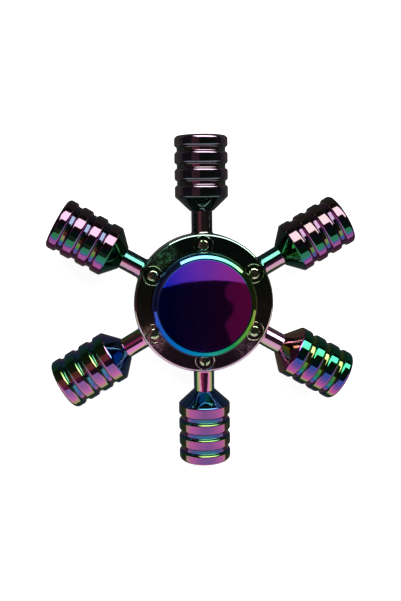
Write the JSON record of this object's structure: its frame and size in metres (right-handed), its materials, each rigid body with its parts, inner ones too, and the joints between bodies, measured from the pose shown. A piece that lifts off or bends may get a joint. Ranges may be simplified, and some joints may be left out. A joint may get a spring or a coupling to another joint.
{
  "type": "fidget spinner",
  "caption": "Metal fidget spinner: a round hub on a ball bearing with radial arms, each ending in a ribbed barrel weight, and dished finger caps front and back.",
  "frame": {"origin": "centre of the bearing, on the spin axis, midway between the two finger caps", "axes": "+Z along the spin axis towards the front cap, the side with the screws; +Y along one arm"},
  "size_m": [0.0666, 0.071, 0.0144],
  "materials": {
    "plated_hub": "polished",
    "plated_posts": "polished",
    "plated_weights": "polished",
    "plated_caps": "polished",
    "plated_screws": "polished",
    "bearing_steel": "polished",
    "pressed_steel": "satin"
  },
  "bodies": {
    "grip": {"front_cap": "plated_caps", "back_cap": "plated_caps", "bearing_inner_race": "bearing_steel"},
    "rotor": {"hub_ring": "plated_hub", "arm_post_1": "plated_posts", "arm_post_2": "plated_posts", "arm_post_3": "plated_posts", "arm_post_4": "plated_posts", "arm_post_5": "plated_posts", "arm_post_6": "plated_posts", "barrel_weight_1": "plated_weights", "barrel_weight_2": "plated_weights", "barrel_weight_3": "plated_weights", "barrel_weight_4": "plated_weights", "barrel_weight_5": "plated_weights", "barrel_weight_6": "plated_weights", "lock_screw_1": "plated_screws", "lock_screw_2": "plated_screws", "lock_screw_3": "plated_screws", "lock_screw_4": "plated_screws", "lock_screw_5": "plated_screws", "lock_screw_6": "plated_screws", "bearing_outer_race": "bearing_steel", "shield_front": "pressed_steel", "shield_back": "pressed_steel"},
    "cage": {"cage_front_half": "pressed_steel", "cage_back_half": "pressed_steel", "cage_rivets": "pressed_steel"},
    "ball_1": {"bearing_ball_1": "bearing_steel"},
    "ball_2": {"bearing_ball_2": "bearing_steel"},
    "ball_3": {"bearing_ball_3": "bearing_steel"},
    "ball_4": {"bearing_ball_4": "bearing_steel"},
    "ball_5": {"bearing_ball_5": "bearing_steel"},
    "ball_6": {"bearing_ball_6": "bearing_steel"},
    "ball_7": {"bearing_ball_7": "bearing_steel"}
  },
  "joints": [
    {"name": "rotor_spin", "type": "hinge", "parent": "grip", "child": "rotor", "pos_m": [0, 0, 0], "axis": [0, 0, 1], "continuous": true},
    {"name": "cage_spin", "type": "hinge", "parent": "grip", "child": "cage", "pos_m": [0, 0, 0], "axis": [0, 0, 1], "continuous": true},
    {"name": "ball_1_spin", "type": "hinge", "parent": "cage", "child": "ball_1", "pos_m": [0, 0.0075, 0], "axis": [0, 0, 1], "continuous": true},
    {"name": "ball_2_spin", "type": "hinge", "parent": "cage", "child": "ball_2", "pos_m": [-0.00586, 0.00468, 0], "axis": [0, 0, 1], "continuous": true},
    {"name": "ball_3_spin", "type": "hinge", "parent": "cage", "child": "ball_3", "pos_m": [-0.00731, -0.00167, 0], "axis": [0, 0, 1], "continuous": true},
    {"name": "ball_4_spin", "type": "hinge", "parent": "cage", "child": "ball_4", "pos_m": [-0.00325, -0.00676, 0], "axis": [0, 0, 1], "continuous": true},
    {"name": "ball_5_spin", "type": "hinge", "parent": "cage", "child": "ball_5", "pos_m": [0.00325, -0.00676, 0], "axis": [0, 0, 1], "continuous": true},
    {"name": "ball_6_spin", "type": "hinge", "parent": "cage", "child": "ball_6", "pos_m": [0.00731, -0.00167, 0], "axis": [0, 0, 1], "continuous": true},
    {"name": "ball_7_spin", "type": "hinge", "parent": "cage", "child": "ball_7", "pos_m": [0.00586, 0.00468, 0], "axis": [0, 0, 1], "continuous": true}
  ],
  "couplings": [
    {"joint": "cage_spin", "follows": "rotor_spin", "ratio": 0.6323},
    {"joint": "ball_1_spin", "follows": "rotor_spin", "ratio": 1.7573},
    {"joint": "ball_2_spin", "follows": "rotor_spin", "ratio": 1.7573},
    {"joint": "ball_3_spin", "follows": "rotor_spin", "ratio": 1.7573},
    {"joint": "ball_4_spin", "follows": "rotor_spin", "ratio": 1.7573},
    {"joint": "ball_5_spin", "follows": "rotor_spin", "ratio": 1.7573},
    {"joint": "ball_6_spin", "follows": "rotor_spin", "ratio": 1.7573},
    {"joint": "ball_7_spin", "follows": "rotor_spin", "ratio": 1.7573}
  ]
}
